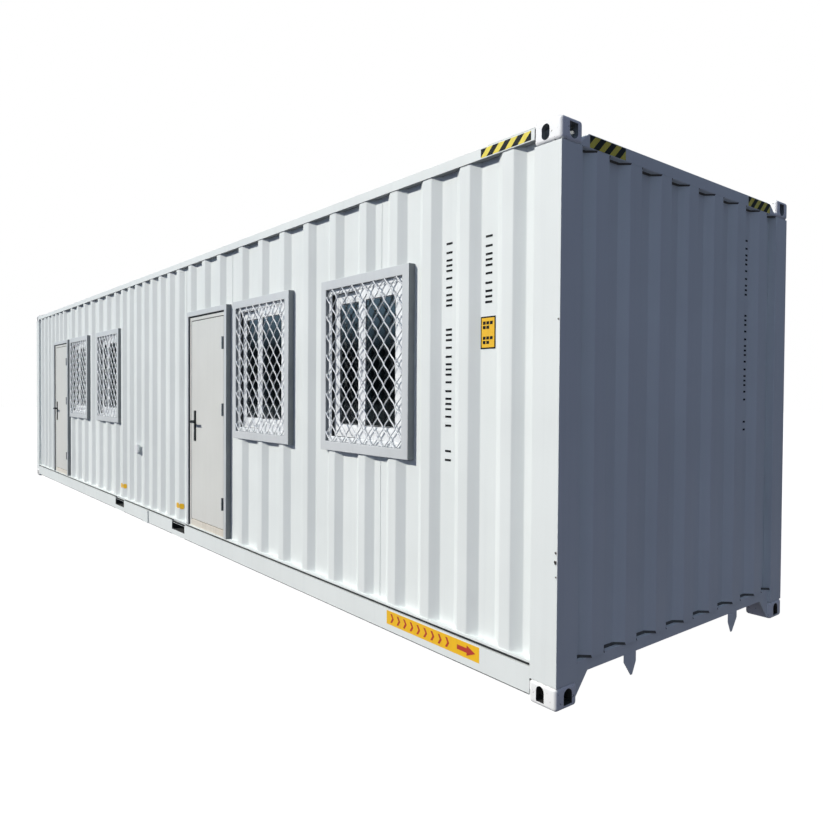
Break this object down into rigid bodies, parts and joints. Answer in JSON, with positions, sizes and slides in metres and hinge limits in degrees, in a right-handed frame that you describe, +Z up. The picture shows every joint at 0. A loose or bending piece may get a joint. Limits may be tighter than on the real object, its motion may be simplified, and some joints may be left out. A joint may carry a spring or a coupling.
{
  "type": "container cabin",
  "caption": "Long steel shipping container fitted out as a site cabin, with hinged doors and barred sliding windows in one side.",
  "frame": {"origin": "centre of the base, midway between the slots of the four bottom corner castings, level with their feet", "axes": "+X along the cabin to the gooseneck end, +Y to the plain side away from the doors, +Z up"},
  "size_m": [12.192, 2.495, 2.896],
  "materials": {
    "container_paint": "satin white paint, lightly dirty",
    "underframe_paint": "matt dark underseal",
    "floor_plywood": "varnished marine plywood",
    "lining_panel": "smooth pale grey panel",
    "door_paint": "warm light grey powder coat",
    "threshold": "cream paint, worn",
    "hinge_steel": "zinc plated steel",
    "black_metal": "black powder coat",
    "white_pvc": "white window plastic",
    "window_glass": "clear glass in front of a dark room",
    "grille_paint": "white painted steel bar"
  },
  "bodies": {
    "cabin": {"bottom_castings": "container_paint", "top_castings": "container_paint", "corner_posts": "container_paint", "top_side_rails": "container_paint", "bottom_side_rails": "container_paint", "rail_splice_plates": "container_paint", "top_end_rails": "container_paint", "end_sills": "container_paint", "gooseneck_tunnel": "underframe_paint", "tunnel_guides": "container_paint", "cross_members": "underframe_paint", "fork_pockets": "underframe_paint", "floor_boards": "floor_plywood", "roof_sheet": "container_paint", "roof_corner_plates": "container_paint", "back_wall": "container_paint", "end_walls": "container_paint", "door_side_wall": "container_paint", "wall_over_doors": "container_paint", "back_lining": "lining_panel", "end_linings": "lining_panel", "door_side_lining": "lining_panel", "lining_over_doors": "lining_panel", "ceiling": "lining_panel", "door_surrounds": "container_paint", "door_frames": "door_paint", "thresholds": "threshold", "frame_hinges": "hinge_steel", "window_surrounds": "container_paint", "window_frames": "white_pvc", "window_sashes": "white_pvc", "window_panes": "window_glass", "front_grille_1": "grille_paint", "front_grille_2": "grille_paint", "rear_grille_1": "grille_paint", "rear_grille_2": "grille_paint", "inlet_box": "white_pvc"},
    "front_door": {"front_door_leaf": "door_paint", "front_door_hinges": "hinge_steel", "front_door_plates": "black_metal"},
    "rear_door": {"rear_door_leaf": "door_paint", "rear_door_hinges": "hinge_steel", "rear_door_plates": "black_metal"},
    "front_lever": {"front_door_lever": "black_metal"},
    "rear_lever": {"rear_door_lever": "black_metal"}
  },
  "joints": [
    {"name": "front_door_hinge", "type": "hinge", "parent": "cabin", "child": "front_door", "pos_m": [2.148, -1.217, 0.5], "axis": [0, 0, 1], "range_deg": [0, 120]},
    {"name": "rear_door_hinge", "type": "hinge", "parent": "cabin", "child": "rear_door", "pos_m": [-3.832, -1.217, 0.5], "axis": [0, 0, 1], "range_deg": [0, 120]},
    {"name": "front_lever_turn", "type": "hinge", "parent": "front_door", "child": "front_lever", "pos_m": [1.4695, -1.205, 1.25], "axis": [0, 1, 0], "range_deg": [0, 45], "stiffness_Nm_per_rad": 2, "springref_deg": -28.65},
    {"name": "rear_lever_turn", "type": "hinge", "parent": "rear_door", "child": "rear_lever", "pos_m": [-4.5105, -1.205, 1.25], "axis": [0, 1, 0], "range_deg": [0, 45], "stiffness_Nm_per_rad": 2, "springref_deg": -28.65}
  ]
}
